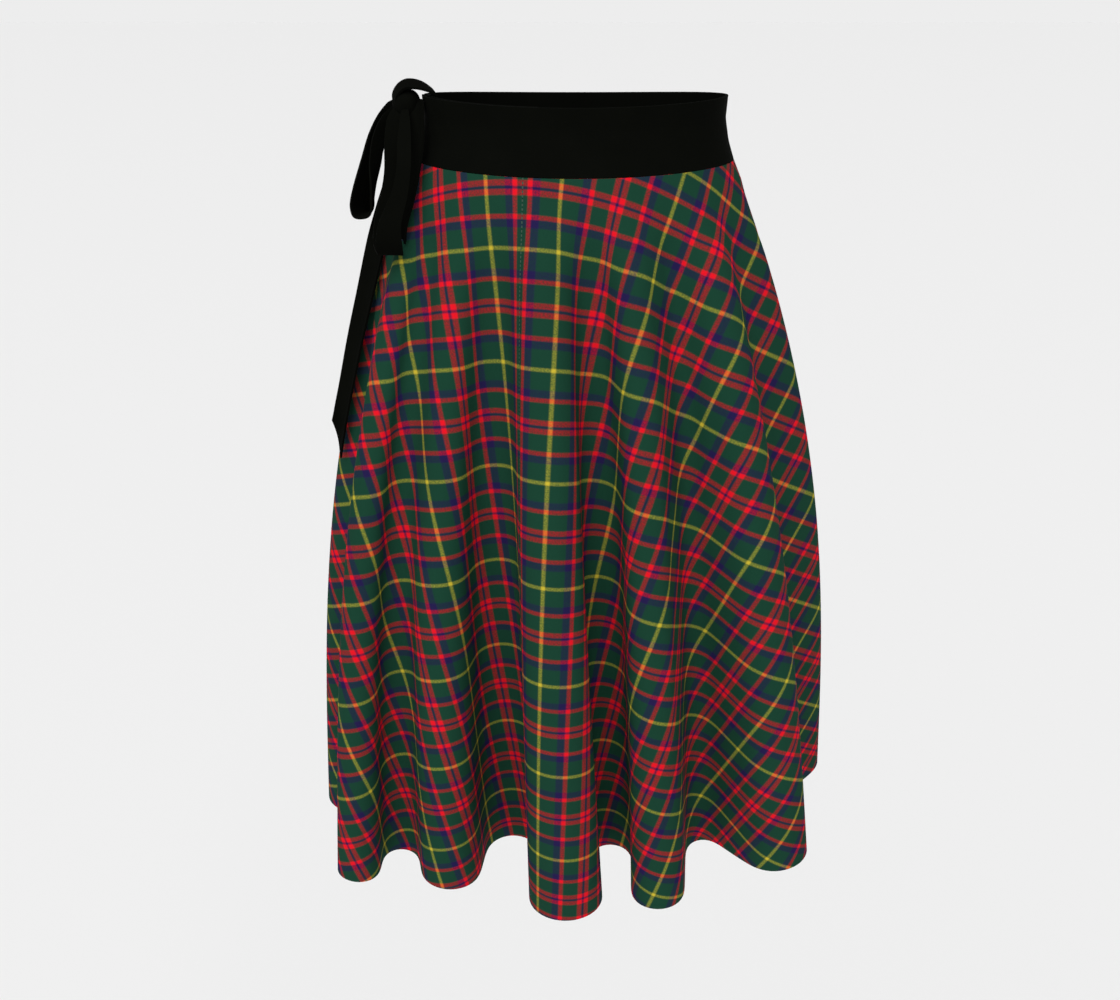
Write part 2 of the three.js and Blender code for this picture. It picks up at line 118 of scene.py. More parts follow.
def hem_loop():
    """The hem seen from above: arcs round crests and valleys, straight runs between, all eased."""
    circles = []
    for fold in FOLDS:
        circles.append((*fold["crest"], fold["crest_r"], 1))
        circles.append((*fold["valley"], fold["valley_r"], -1))
    headings = []
    for here, after in zip(circles, circles[1:] + circles[:1]):
        dx, dy = after[0] - here[0], after[1] - here[1]
        lean = math.asin((after[3] * after[2] - here[3] * here[2]) / math.hypot(dx, dy))
        headings.append(math.atan2(dy, dx) - lean)
    line = []
    for k, (x, y, radius, turn) in enumerate(circles):
        start, sweep = headings[k - 1], (turn * (headings[k] - headings[k - 1])) % (2 * math.pi)
        for share in np.linspace(0, 1, ARC_POINTS):
            heading = start + turn * sweep * share
            line.append((x + turn * radius * math.sin(heading), y - turn * radius * math.cos(heading)))
    spaced = at_share(np.array(line), np.arange(LOOP_POINTS) / LOOP_POINTS)
    return averaged(spaced, round(FOLD_ROUNDING / arc_lengths(spaced)[-1] * LOOP_POINTS * 0.5))


def share_nearest(points, target):
    """The share of the way round at which a closed line comes nearest a point."""
    shares = np.arange(SEARCH_POINTS) / SEARCH_POINTS
    return shares[np.argmin(np.linalg.norm(at_share(points, shares) - target, axis=1))]


turns = np.linspace(0, 2 * math.pi, WAIST_POINTS, endpoint=False)
waist = np.stack([WAIST_HALF_WIDTH * np.cos(turns), WAIST_HALF_DEPTH * np.sin(turns)], axis=1)
waist_length = arc_lengths(waist)[-1]
hem = hem_loop()
hem_length = arc_lengths(hem)[-1]
hem_ring = at_share(hem, np.arange(LOOP_POINTS) / LOOP_POINTS)
flare_ring = averaged(hem_ring, round(LOOP_POINTS / len(FOLDS) * FOLDS_AVERAGED * 0.5))
seam_y = -WAIST_HALF_DEPTH * math.sqrt(1 - (FRONT_SEAM_X / WAIST_HALF_WIDTH) ** 2)
waist_seam = share_nearest(waist, np.array([FRONT_SEAM_X, seam_y]))
first_crest = np.array([FOLDS[0]["crest"][0], FOLDS[0]["crest"][1] - FOLDS[0]["crest_r"]])
hem_seam = share_nearest(hem, first_crest) - SEAM_BEFORE_FIRST_CREST / hem_length


def waist_place(along):
    """Points of the waist's edge and their level outward directions."""
    edge = at_share(waist, waist_seam + np.asarray(along) / waist_length)
    outward = edge / np.array([WAIST_HALF_WIDTH**2, WAIST_HALF_DEPTH**2])
    outward /= np.linalg.norm(outward, axis=-1, keepdims=True)
    height = BAND_BOTTOM + WAIST_SIDE_RISE * (edge[..., :1] / WAIST_HALF_WIDTH) ** 2
    return np.concatenate([edge, height], axis=-1), np.concatenate([outward, 0 * height], axis=-1)


# The cloth's threads, one each half millimetre of waist, each a line of equal steps from waist to hem.
# They run on a little past both ends of the wrap. However far a step swings out, it still drops a little.
THREAD_STEP = 0.5
FIRST_THREAD = -150.0
LAST_THREAD = 720.0
LEAST_DROP = 0.02
thread_places = np.arange(FIRST_THREAD, LAST_THREAD, THREAD_STEP)
tops, outward = waist_place(thread_places)
shares = hem_seam + thread_places / waist_length
flare = ring_place(flare_ring, shares) - tops[:, :2]
fold = ring_place(hem_ring, shares) - ring_place(flare_ring, shares)
downs = np.arange(HANG_STEPS + 1) / HANG_STEPS
front = np.maximum(0, -outward[:, 1]) ** 2
right = 0.5 + 0.5 * np.clip(2 * tops[:, 0] / WAIST_HALF_WIDTH, -1, 1)
swell = (SWELL_RIGHT * right + SWELL_LEFT * (1 - right)) * (1 - front) + SWELL_FRONT * front
bow = swell[:, None] * np.sin(math.pi * downs**SWELL_HEIGHT)
ramp = np.clip(downs / SMOOTH_HIPS, 0, 1)
folded = (downs + FOLDS_AHEAD * np.sin(math.pi * downs**FOLDS_AHEAD_HIGH)) * ramp * ramp * (3 - 2 * ramp)
level = tops[:, None, :2] + downs[:, None] * flare[:, None] + folded[:, None] * fold[:, None]
level = level + bow[..., None] * outward[:, None, :2]
step = CLOTH_LENGTH / HANG_STEPS
runs = np.linalg.norm(np.diff(level, axis=1), axis=2)
drops = np.sqrt(np.maximum(LEAST_DROP * step**2, step**2 - runs**2))
heights = tops[:, 2:3] - np.concatenate([np.zeros((len(tops), 1)), np.cumsum(drops, axis=1)], axis=1)
threads = np.concatenate([level, heights[..., None]], axis=2)
across, downward = np.gradient(threads, axis=0), np.gradient(threads, axis=1)
thread_normals = np.cross(downward, across)
thread_normals /= np.linalg.norm(thread_normals, axis=2, keepdims=True)


def between(table, along, down):
    """A value of the thread table at any place along the waist and down the cloth."""
    a = np.clip((along - thread_places[0]) / THREAD_STEP, 0, len(thread_places) - 1.001)
    d = np.clip(down * HANG_STEPS, 0, HANG_STEPS - 0.001)
    ai, di = a.astype(int), d.astype(int)
    af, df = (a - ai)[..., None], (d - di)[..., None]
    upper = table[ai, di] * (1 - af) + table[ai + 1, di] * af
    lower = table[ai, di + 1] * (1 - af) + table[ai + 1, di + 1] * af
    return upper * (1 - df) + lower * df


def free_edge(down):
    """Where the over-wrap's free edge lies, straight in the cut, so it bends a little round the waist."""
    share = (1 - np.exp(-FREE_EDGE_BEND * down)) / (1 - math.exp(-FREE_EDGE_BEND))
    return FREE_EDGE_AT_WAIST + (FREE_EDGE_AT_HEM - FREE_EDGE_AT_WAIST) * share


LAP_DEPTH = 3.6
LAP_STEP = 9.0
LAP_CLEAR = 2.0


def tucked_in(along, down):
    """How far inside the outer layer the cloth lies, once the over-wrap covers it."""
    t = np.clip((along - free_edge(down) - waist_length + LAP_STEP + LAP_CLEAR) / LAP_STEP, 0, 1)
    return LAP_DEPTH * t * t * (3 - 2 * t)


# Soft creases laid over the folds: a trough is below 0, a ridge above. Each runs down the cloth with a lean.
CREASES = [
    {"along": -122, "down": 0.06, "length": 110, "lean": 22, "width": 7, "depth": -1.2},
    {"along": -108, "down": 0.05, "length": 90, "lean": 30, "width": 6, "depth": -0.8},
    {"along": -96, "down": 0.10, "length": 120, "lean": 14, "width": 8, "depth": 0.9},
    {"along": -60, "down": 0.30, "length": 220, "lean": 3, "width": 9, "depth": -0.9},
    {"along": 18, "down": 0.34, "length": 230, "lean": -2, "width": 8, "depth": 0.8},
    {"along": 52, "down": 0.22, "length": 180, "lean": -5, "width": 9, "depth": -1.1},
    {"along": 88, "down": 0.55, "length": 240, "lean": -3, "width": 10, "depth": -1.2},
    {"along": 118, "down": 0.28, "length": 200, "lean": -8, "width": 9, "depth": 0.9},
    {"along": 168, "down": 0.12, "length": 150, "lean": -10, "width": 9, "depth": -1.0},
    {"along": 205, "down": 0.45, "length": 260, "lean": -6, "width": 11, "depth": -1.1},
    {"along": 262, "down": 0.30, "length": 230, "lean": 5, "width": 9, "depth": 1.0},
    {"along": 318, "down": 0.50, "length": 250, "lean": -4, "width": 10, "depth": -1.2},
    {"along": 372, "down": 0.24, "length": 200, "lean": 6, "width": 9, "depth": -0.9},
    {"along": 430, "down": 0.60, "length": 260, "lean": 3, "width": 11, "depth": 1.1},
    {"along": 486, "down": 0.35, "length": 220, "lean": -5, "width": 9, "depth": -1.0},
    {"along": 528, "down": 0.18, "length": 150, "lean": 9, "width": 8, "depth": -0.9},
]


def crease_height(along, down):
    """How far the creases raise the cloth at a place."""
    raised = np.zeros(np.broadcast(along, down).shape)
    spread = 1 + down * (hem_length / waist_length - 1)
    for crease in CREASES:
        below = (down - crease["down"]) * CLOTH_LENGTH
        beside = (along - crease["along"]) * spread - below * math.tan(math.radians(crease["lean"]))
        run = np.exp(-((below / (crease["length"] / 2)) ** 4))
        raised += crease["depth"] * run * np.exp(-((beside / crease["width"]) ** 2))
    return raised


EDGE_ANGLE = 50


def sheet_object(name, points, maps, thickness):
    """A closed thin sheet over a grid of middle points, with named maps laid on it, all in millimetres."""
    rows, columns = points.shape[:2]
    corner = np.arange(rows * columns).reshape(rows, columns)
    quads = np.stack([corner[:-1, :-1], corner[1:, :-1], corner[1:, 1:], corner[:-1, 1:]], axis=-1)
    quads = quads.reshape(-1, 4)
    mesh = bpy.data.meshes.new(name)
    mesh.from_pydata((points.reshape(-1, 3) / 1000).tolist(), [], quads.tolist())
    for map_name, places in maps.items():
        layer = mesh.uv_layers.new(name=map_name)
        layer.data.foreach_set("uv", places.reshape(-1, 2)[quads.reshape(-1)].ravel() / 1000)
    piece = bpy.data.objects.new(name, mesh)
    bpy.context.collection.objects.link(piece)
    bpy.ops.object.select_all(action="DESELECT")
    piece.select_set(True)
    bpy.context.view_layer.objects.active = piece
    wall = piece.modifiers.new("thickness", "SOLIDIFY")
    wall.thickness = thickness / 1000
    wall.offset = 0
    bpy.ops.object.modifier_apply(modifier=wall.name)
    bpy.ops.object.shade_smooth_by_angle(angle=math.radians(EDGE_ANGLE))
    return piece


CUT_RADIUS = CLOTH_LENGTH / (hem_length / waist_length - 1)
SEAM_SINK = 0.7
SEAM_WIDTH = 2.5
COLUMN_WIDTH = 1.1
PANEL_ROWS = 76
WARP_FROM_SEAM = 29.9
WEFT_FROM_CENTRE = CUT_RADIUS + 52.4


def panel(name, from_edge, to_edge, sunk_edges, grain, offset):
    """A panel of cloth between two edges, with its straight grain at one place along the waist."""
    columns = math.ceil((to_edge(0.0) - from_edge(0.0)) / COLUMN_WIDTH)
    gap = SEAM_GAP / CLOTH_LENGTH
    down = (gap + np.arange(PANEL_ROWS + 1) / PANEL_ROWS * (1 - gap))[:, None]
    share = (np.arange(columns + 1) / columns)[None, :]
    start, end = from_edge(down), to_edge(down)
    along = start + share * (end - start)
    down = np.broadcast_to(down, along.shape)
    spread = 1 + down * (hem_length / waist_length - 1)
    raised = crease_height(along, down) - tucked_in(along, down)
    from_seam = np.full(along.shape, CLOTH_LENGTH)
    for sunk, edge in zip(sunk_edges, (start, end)):
        if sunk:
            distance = np.abs(along - edge) * spread
            raised = raised - SEAM_SINK * np.exp(-((distance / SEAM_WIDTH) ** 2))
            from_seam = np.minimum(from_seam, distance)
    points = between(threads, along, down) + raised[..., None] * between(thread_normals, along, down)
    angle = (along - grain) / CUT_RADIUS
    radius = CUT_RADIUS + down * CLOTH_LENGTH
    cut = np.stack([radius * np.sin(angle) + offset, radius * np.cos(angle) - WEFT_FROM_CENTRE], axis=-1)
    seam = np.stack([from_seam, down * CLOTH_LENGTH], axis=-1)
    return sheet_object(name, points, {"cut": cut, "seam": seam}, CLOTH_THICKNESS)


def linear(hex_colour):
    """A colour written as sRGB hex, as the linear values that a shader takes."""
    channels = [int(hex_colour[k : k + 2], 16) / 255 for k in (1, 3, 5)]
    return [c / 12.92 if c <= 0.04045 else ((c + 0.055) / 1.055) ** 2.4 for c in channels] + [1.0]


def add_node(tree, kind, settings, links):
    """Adds a shader node with its settings, by property or input name, and its incoming links."""
    node = tree.nodes.new(kind)
    for name, value in settings.items():
        if hasattr(node, name):
            setattr(node, name, value)
        else:
            node.inputs[name].default_value = value
    for name, source in links.items():
        tree.links.new(source, node.inputs[name])
    return node


def new_material(name):
    """A material with an empty shader tree and its output node."""
    material = bpy.data.materials.new(name)
    material.use_nodes = True
    material.node_tree.nodes.clear()
    output = material.node_tree.nodes.new("ShaderNodeOutputMaterial")
    return material, material.node_tree, output


# Printed cotton twill in a red, green, navy and yellow tartan. The sett runs from the middle of the yellow
# line to the middle of the double red one and back, alike in warp and weft, and repeats every 90 mm.
REPEAT = 0.090
HALF_SETT = [
    {"colour": "#BEAA33", "threads": 20},
    {"colour": "#173C2D", "threads": 195},
    {"colour": "#221B46", "threads": 85},
    {"colour": "#DA1523", "threads": 47},
    {"colour": "#173C2D", "threads": 190},
    {"colour": "#DA1523", "threads": 58},
    {"colour": "#221B46", "threads": 17},
]
SOFT_EDGE = 0.013
# Stitch dashes along the seams; their colour also paints the seam's shadow.
STITCH_AND_SHADOW_WIDTH = 0.9
STITCH_PITCH = 3.2
STITCH_SHARE = 0.55

tartan, tree, output = new_material("printed_tartan_twill")
uv = add_node(tree, "ShaderNodeUVMap", {"uv_map": "cut"}, {})
axes = add_node(tree, "ShaderNodeSeparateXYZ", {}, {"Vector": uv.outputs["UV"]})
threads_in_half = sum(stripe["threads"] for stripe in HALF_SETT)
stripes = []
for axis in ("X", "Y"):
    repeats = add_node(tree, "ShaderNodeMath", {"operation": "DIVIDE"}, {0: axes.outputs[axis]})
    repeats.inputs[1].default_value = REPEAT / 2
    mirrored = add_node(tree, "ShaderNodeMath", {"operation": "PINGPONG"}, {0: repeats.outputs[0]})
    mirrored.inputs[1].default_value = 1.0
    ramp = add_node(tree, "ShaderNodeValToRGB", {}, {"Fac": mirrored.outputs[0]})
    edge = 0.0
    stops = [(0.0, HALF_SETT[0]["colour"])]
    for here, after in zip(HALF_SETT, HALF_SETT[1:]):
        edge += here["threads"] / threads_in_half
        stops += [(edge - SOFT_EDGE, here["colour"]), (edge + SOFT_EDGE, after["colour"])]
    while len(ramp.color_ramp.elements) < len(stops):
        ramp.color_ramp.elements.new(1.0)
    for element, (position, colour) in zip(ramp.color_ramp.elements, stops):
        element.position = position
        element.color = linear(colour)
    stripes.append(add_node(tree, "ShaderNodeGamma", {"Gamma": 1 / 2.2}, {"Color": ramp.outputs["Color"]}))
# Warp and weft colours come up unevenly where they cross, as fine specks. The twill raises the cloth.
specks = add_node(tree, "ShaderNodeTexNoise", {"Scale": 750.0, "Detail": 1.0}, {"Vector": uv.outputs["UV"]})
diagonal = {"Rotation": (0, 0, math.radians(45))}
turned = add_node(tree, "ShaderNodeMapping", diagonal, {"Vector": uv.outputs["UV"]})
ribs = {"Scale": 300.0, "Distortion": 0.6}
twill = add_node(tree, "ShaderNodeTexWave", ribs, {"Vector": turned.outputs["Vector"]})
on_top = add_node(
    tree,
    "ShaderNodeMapRange",
    {"From Min": 0.3, "From Max": 0.7, "To Min": 0.37, "To Max": 0.63},
    {"Value": specks.outputs["Fac"]},
)
crossed = add_node(tree, "ShaderNodeMix", {"data_type": "RGBA"}, {})
tree.links.new(on_top.outputs["Result"], crossed.inputs[0])
tree.links.new(stripes[0].outputs[0], crossed.inputs[6])
tree.links.new(stripes[1].outputs[0], crossed.inputs[7])
dyed = add_node(tree, "ShaderNodeGamma", {"Gamma": 2.2}, {"Color": crossed.outputs[2]})
wear = add_node(tree, "ShaderNodeTexNoise", {"Scale": 9.0, "Detail": 3.0}, {"Vector": uv.outputs["UV"]})
shade = add_node(tree, "ShaderNodeMapRange", {"To Min": 0.9, "To Max": 1.1}, {"Value": wear.outputs["Fac"]})
faded = add_node(
    tree,
    "ShaderNodeHueSaturation",
    {},
    {"Color": dyed.outputs["Color"], "Value": shade.outputs["Result"]},
)

# Short stitches show along each seam, close to its fold, in a pale grey green that also stands in for the
# seam's shadow: part stitching, part painted shade.
seam_uv = add_node(tree, "ShaderNodeUVMap", {"uv_map": "seam"}, {})
seam_axes = add_node(tree, "ShaderNodeSeparateXYZ", {}, {"Vector": seam_uv.outputs["UV"]})
in_line = add_node(tree, "ShaderNodeMath", {"operation": "LESS_THAN"}, {0: seam_axes.outputs["X"]})
in_line.inputs[1].default_value = STITCH_AND_SHADOW_WIDTH / 2000
steps = add_node(tree, "ShaderNodeMath", {"operation": "DIVIDE"}, {0: seam_axes.outputs["Y"]})
steps.inputs[1].default_value = STITCH_PITCH / 1000
part_step = add_node(tree, "ShaderNodeMath", {"operation": "FRACT"}, {0: steps.outputs[0]})
in_stitch = add_node(tree, "ShaderNodeMath", {"operation": "LESS_THAN"}, {0: part_step.outputs[0]})
in_stitch.inputs[1].default_value = STITCH_SHARE
both = {0: in_line.outputs[0], 1: in_stitch.outputs[0]}
stitch_and_seam_shadow = add_node(tree, "ShaderNodeMath", {"operation": "MULTIPLY"}, both)
# The tartan with its seam stitches mixed in, which also carry the painted seam shadow.
with_stitches_and_painted_shade = add_node(tree, "ShaderNodeMix", {"data_type": "RGBA"}, {})
tree.links.new(stitch_and_seam_shadow.outputs[0], with_stitches_and_painted_shade.inputs[0])
tree.links.new(faded.outputs["Color"], with_stitches_and_painted_shade.inputs[6])
with_stitches_and_painted_shade.inputs[7].default_value = linear("#44584B")
low_relief = {"Strength": 0.25, "Distance": 0.0002}
weave = add_node(tree, "ShaderNodeBump", low_relief, {"Height": twill.outputs["Fac"]})
cloth = add_node(
    tree,
    "ShaderNodeBsdfPrincipled",
    {"Roughness": 0.9, "Sheen Weight": 0.003, "Sheen Roughness": 0.5, "Specular IOR Level": 0.03},
    {"Base Color": with_stitches_and_painted_shade.outputs[2], "Normal": weave.outputs["Normal"]},
)
tree.links.new(cloth.outputs["BSDF"], output.inputs["Surface"])

RIGHT_SEAM = 214.0
BACK_SEAM = 374.0
LEFT_SEAM = 534.0
UNDER_LAP_END = 700.0
UNDER_GRAIN = 695.0
HALF_GAP = SEAM_GAP / 2


def seam_after(place):
    """The edge that starts a panel at a seam, half the gap past it all the way down."""
    return lambda down: place + HALF_GAP * waist_length / (waist_length + down * (hem_length - waist_length))


def seam_before(place):
    """The edge that ends a panel at a seam, half the gap before it all the way down."""
    return lambda down: place - HALF_GAP * waist_length / (waist_length + down * (hem_length - waist_length))


def under_lap_edge(down):
    """The under-wrap's hidden end, straight down from the waist."""
    return UNDER_LAP_END + 0 * down


over_wrap_left = panel("over_wrap_left", free_edge, seam_before(0), (False, True), 0, WARP_FROM_SEAM)
edges = (seam_after(0), seam_before(RIGHT_SEAM))
over_wrap_right = panel("over_wrap_right", *edges, (True, True), 0, -WARP_FROM_SEAM)
edges = (seam_after(RIGHT_SEAM), seam_before(BACK_SEAM))
back_right = panel("back_right", *edges, (True, True), BACK_SEAM, WARP_FROM_SEAM)
edges = (seam_after(BACK_SEAM), seam_before(LEFT_SEAM))
back_left = panel("back_left", *edges, (True, True), BACK_SEAM, -WARP_FROM_SEAM)
under_wrap = panel("under_wrap", seam_after(LEFT_SEAM), under_lap_edge, (True, False), UNDER_GRAIN, 0)

# Each panel with its node and its width along the waist.
cloth_panels = [
    (over_wrap_left, "front_left_panel", -FREE_EDGE_AT_WAIST),
    (over_wrap_right, "front_right_panel", RIGHT_SEAM),
    (back_right, "back_right_panel", BACK_SEAM - RIGHT_SEAM),
    (back_left, "back_left_panel", LEFT_SEAM - BACK_SEAM),
    (under_wrap, "under_wrap_panel", UNDER_LAP_END - LEFT_SEAM),
]
for piece, node, span in cloth_panels:
    piece.data.materials.append(tartan)
    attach(piece, "root")
    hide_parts(node)
    angle = span / CUT_RADIUS
    outer = CUT_RADIUS + CLOTH_LENGTH
    flat_area = angle / 2 * (outer**2 - CUT_RADIUS**2) / 1e6

# THE WAISTBAND
# A black strip of doubled cloth, shaped in to the waist and running on inside itself at the lap.
# The panels' upper edges are sewn into it.
BAND_THICKNESS = 2.0
BAND_HEIGHT = 49.0
BAND_LAP_END = 706.0
BAND_PAST_CLOTH = 1.0
BAND_TUCK = 1.2
BAND_COLUMNS = 420
BAND_ROWS = 13
BULGE_HEIGHTS = [0, 0.3, 0.65, 1]
BULGES = [-0.5, -5.6, -8.9, -8.0]

# Plain black cotton, matt and almost without sheen, in a fine even weave and two near shades of black.
black, tree, output = new_material("plain_black_cotton")
uv = add_node(tree, "ShaderNodeUVMap", {"uv_map": "cut"}, {})
tint = add_node(tree, "ShaderNodeTexNoise", {"Scale": 30.0, "Detail": 4.0}, {"Vector": uv.outputs["UV"]})
ramp = add_node(tree, "ShaderNodeValToRGB", {}, {"Fac": tint.outputs["Fac"]})
ramp.color_ramp.elements[0].color = linear("#060705")
ramp.color_ramp.elements[1].color = linear("#0A0B08")
weave = add_node(tree, "ShaderNodeTexChecker", {"Scale": 2200.0}, {"Vector": uv.outputs["UV"]})
bump = add_node(tree, "ShaderNodeBump", {"Strength": 0.2, "Distance": 0.0001}, {"Height": weave.outputs["Fac"]})
cloth = add_node(
    tree,
    "ShaderNodeBsdfPrincipled",
    {"Roughness": 0.85, "Sheen Weight": 0.001, "Sheen Roughness": 0.4, "Specular IOR Level": 0.015},
    {"Base Color": ramp.outputs["Color"], "Normal": bump.outputs["Normal"]},
)
tree.links.new(cloth.outputs["BSDF"], output.inputs["Surface"])

band_start = FREE_EDGE_AT_WAIST - BAND_PAST_CLOTH
along = np.linspace(band_start, BAND_LAP_END, BAND_COLUMNS)[None, :]
height = np.linspace(1, 0, BAND_ROWS)[:, None]
bulge = np.interp(height, BULGE_HEIGHTS, BULGES)
edge, facing = waist_place(along)
tuck = tucked_in(along, 0.0) * BAND_TUCK
middles = edge + (bulge - tuck)[..., None] * facing
middles[..., 2] += height * BAND_HEIGHT
band_cut = np.stack(np.broadcast_arrays(along, height * BAND_HEIGHT), axis=-1)
waistband = sheet_object("waistband", middles, {"cut": band_cut}, BAND_THICKNESS)
waistband.data.materials.append(black)
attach(waistband, "root")
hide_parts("waistband")

# THE TIES, TIED IN A BOW
# Two black ties of the same cloth as the band, doubled and pressed flat, knotted at the right hip.
# Each row is a place on a tie's middle line, with the tie's width and direction there.
TIE_THICKNESS = 1.8
TIE_COLUMNS = 11
OUTER_LOOP = [
    {"at": (-139, -8, 26.5), "width": (7, -4, -2.5)},
    {"at": (-146, -3, 23), "width": (8, -2, -3.5)},
    {"at": (-153.5, 0.5, 14), "width": (9, 7, -3.5)},
    {"at": (-161, 2, -2), "width": (11, 16, -5)},
    {"at": (-169, 3, -24), "width": (11, 22, -6)},
    {"at": (-176.5, 3, -47), "width": (12.5, 22, -7.5)},
    {"at": (-179, 4, -58.5), "width": (14.5, 20, -6)},
    {"at": (-178.5, 2, -64), "width": (11, 22, 0.5)},
    {"at": (-172, -6, -63), "width": (3.5, 20, 3)},
    {"at": (-167, -15, -57.5), "width": (0.5, 14, 4)},
    {"at": (-166, -16, -50), "width": (0.5, 12, 3)},
    {"at": (-164.5, -14.5, -37.5), "width": (2.5, 11, 1.5)},
    {"at": (-161.5, -14.5, -19.5), "width": (8.5, 7, 0.5)},
    {"at": (-157, -14.5, 0.5), "width": (9.5, 5, 1)},
    {"at": (-147.5, -15, 18), "width": (10, 2, 3)},
    {"at": (-139, -14, 25.5), "width": (6.5, 0, 1.5)},
]
FRONT_LOOP = [
    {"at": (-138, -16.5, 24), "width": (6, -3, -2)},
    {"at": (-142.5, -24.5, 13.5), "width": (11.5, 1, -1.5)},
    {"at": (-143.5, -34, -5.5), "width": (13, 4, -2)},
    {"at": (-144, -41.5, -25.5), "width": (12.5, 5, -3)},
    {"at": (-147.5, -50, -44.5), "width": (12.5, 4, -3.5)},
    {"at": (-152, -58, -64.5), "width": (13.5, 4, -4.5)},
    {"at": (-149, -63.5, -78), "width": (20, 3, -1.5)},
    {"at": (-145.5, -70, -83), "width": (19.5, 4, -1)},
    {"at": (-145, -77, -74.5), "width": (20, 4, -2.5)},
    {"at": (-143.5, -77.5, -59), "width": (17, 3, -2)},
    {"at": (-136, -71.5, -38), "width": (13, 3, -0.5)},
    {"at": (-132.5, -62, -19.5), "width": (11, 2, 1)},
    {"at": (-132.5, -49, 0), "width": (10.5, 2, 1.5)},
    {"at": (-133, -34, 15), "width": (7.5, 2, 2)},
    {"at": (-134.5, -19, 22), "width": (4.5, 2, 1.5)},
]
LONG_TAIL = [
    {"at": (-136.5, -7.5, 17), "width": (3.5, -3, -0.5)},
    {"at": (-141, 1.5, 5.5), "width": (6.5, -5, -0.5)},
    {"at": (-147, 10, -14.5), "width": (9.5, -8, -0.5)},
    {"at": (-153.5, 7, -39), "width": (12, -10, -2)},
    {"at": (-160.5, -2, -60.5), "width": (12.5, -12, -3)},
    {"at": (-166.2, -14.5, -86), "width": (15.5, -12.5, -5)},
    {"at": (-177.5, -21, -127.5), "width": (14.5, -14, -5)},
    {"at": (-188.5, -25, -167), "width": (13, -14, -7.5)},
    {"at": (-197.5, -27, -202), "width": (12.5, -14, -7)},
    {"at": (-206, -29, -235), "width": (11.5, -10, -10.5)},
    {"at": (-211, -28.5, -255.5), "width": (6.5, -7, -33.5)},
]
SHORT_TAIL = [
    {"at": (-131.5, -11, 25.5), "width": (5, 0, 1)},
    {"at": (-125.2, -19, 27), "width": (9, -6, 2)},
    {"at": (-124.6, -28, 15), "width": (11, -8, 1.5)},
    {"at": (-125, -37, -0.5), "width": (12, -8, 1)},
    {"at": (-127, -45, -19.5), "width": (11, -6, -1.5)},
    {"at": (-131, -52.5, -42), "width": (8.5, -5, -3)},
    {"at": (-135.5, -56, -61.5), "width": (4.5, -4, -4)},
    {"at": (-137, -58.5, -75), "width": (3.5, -3, -4)},
]
OVER_STRAND = [
    {"at": (-109.5, -13, 16), "width": (-3, 14, 0)},
    {"at": (-109.5, -13, 26), "width": (-3, 14, 0)},
    {"at": (-111, -13.5, 32), "width": (-3, 14, 1)},
    {"at": (-116, -14.5, 35.5), "width": (-1.5, 13, 3)},
    {"at": (-122, -15.5, 38), "width": (0, 13, 4.5)},
    {"at": (-127.5, -15.5, 39), "width": (0, 13, 5.5)},
    {"at": (-133, -15.5, 39), "width": (-2, 13, 5.5)},
    {"at": (-138.5, -16, 36), "width": (-3.5, 12, 4.5)},
    {"at": (-142.5, -16, 30), "width": (-4, 11, 2.5)},
    {"at": (-142, -15, 24), "width": (-3, 9, 1)},
    {"at": (-137, -12, 20), "width": (-1.5, 6, 1)},
]


def smooth_line(places, count):
    """A centripetal Catmull-Rom line through places, evenly shared between them."""
    places = np.array(places, dtype=float)
    ends = [2 * places[0] - places[1], 2 * places[-1] - places[-2]]
    padded = np.vstack([ends[0], places, ends[1]])
    line = []
    for t in np.linspace(0, len(places) - 1, count):
        k = min(int(t), len(places) - 2)
        p0, p1, p2, p3 = padded[k : k + 4]
        g0, g1, g2 = (max(np.linalg.norm(b - a), 1e-4) ** 0.5 for a, b in ((p0, p1), (p1, p2), (p2, p3)))
        m1 = ((p1 - p0) / g0 - (p2 - p0) / (g0 + g1) + (p2 - p1) / g1) * g1
        m2 = ((p2 - p1) / g1 - (p3 - p1) / (g1 + g2) + (p3 - p2) / g2) * g1
        f = t - k
        cubic = 2 * p1 - 2 * p2 + m1 + m2
        square = -3 * p1 + 3 * p2 - 2 * m1 - m2
        line.append(cubic * f**3 + square * f**2 + m1 * f + p1)
    return np.array(line)


def tie(name, stops, count, fold):
    """A tie as a thin strip along its stops, bowed across its width by fold millimetres."""
    middle = smooth_line([stop["at"] for stop in stops], count)
    side = smooth_line([stop["width"] for stop in stops], count)
    run = np.gradient(middle, axis=0)
    normal = np.cross(side, run)
    normal /= np.linalg.norm(normal, axis=1, keepdims=True)
    share = np.linspace(-0.5, 0.5, TIE_COLUMNS)[:, None, None]
    points = middle + side * share + normal * fold * np.cos(math.pi * share)
    length = np.concatenate([[0], np.cumsum(np.linalg.norm(np.diff(middle, axis=0), axis=1))])
    width = np.linalg.norm(side, axis=1)
    cut = np.stack([share[..., 0] * width, np.broadcast_to(length, (TIE_COLUMNS, count))], axis=-1)
    piece = sheet_object(name, points, {"cut": cut}, TIE_THICKNESS)
    piece.data.materials.append(black)
    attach(piece, "root")
    return piece, (width.max() / 1000, length[-1] / 1000), float(np.trapz(width, length)) / 1e6


bow_ties = [
    ("outer_loop", OUTER_LOOP, 120, 0.0),
    ("front_loop", FRONT_LOOP, 130, 0.0),
    ("long_tail", LONG_TAIL, 110, 3.0),
    ("short_tail", SHORT_TAIL, 60, 2.0),
    ("over_strand", OVER_STRAND, 50, 0.0),
]
for name, stops, count, fold in bow_ties:
    piece, flat, flat_area = tie(name, stops, count, fold)
    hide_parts(name)

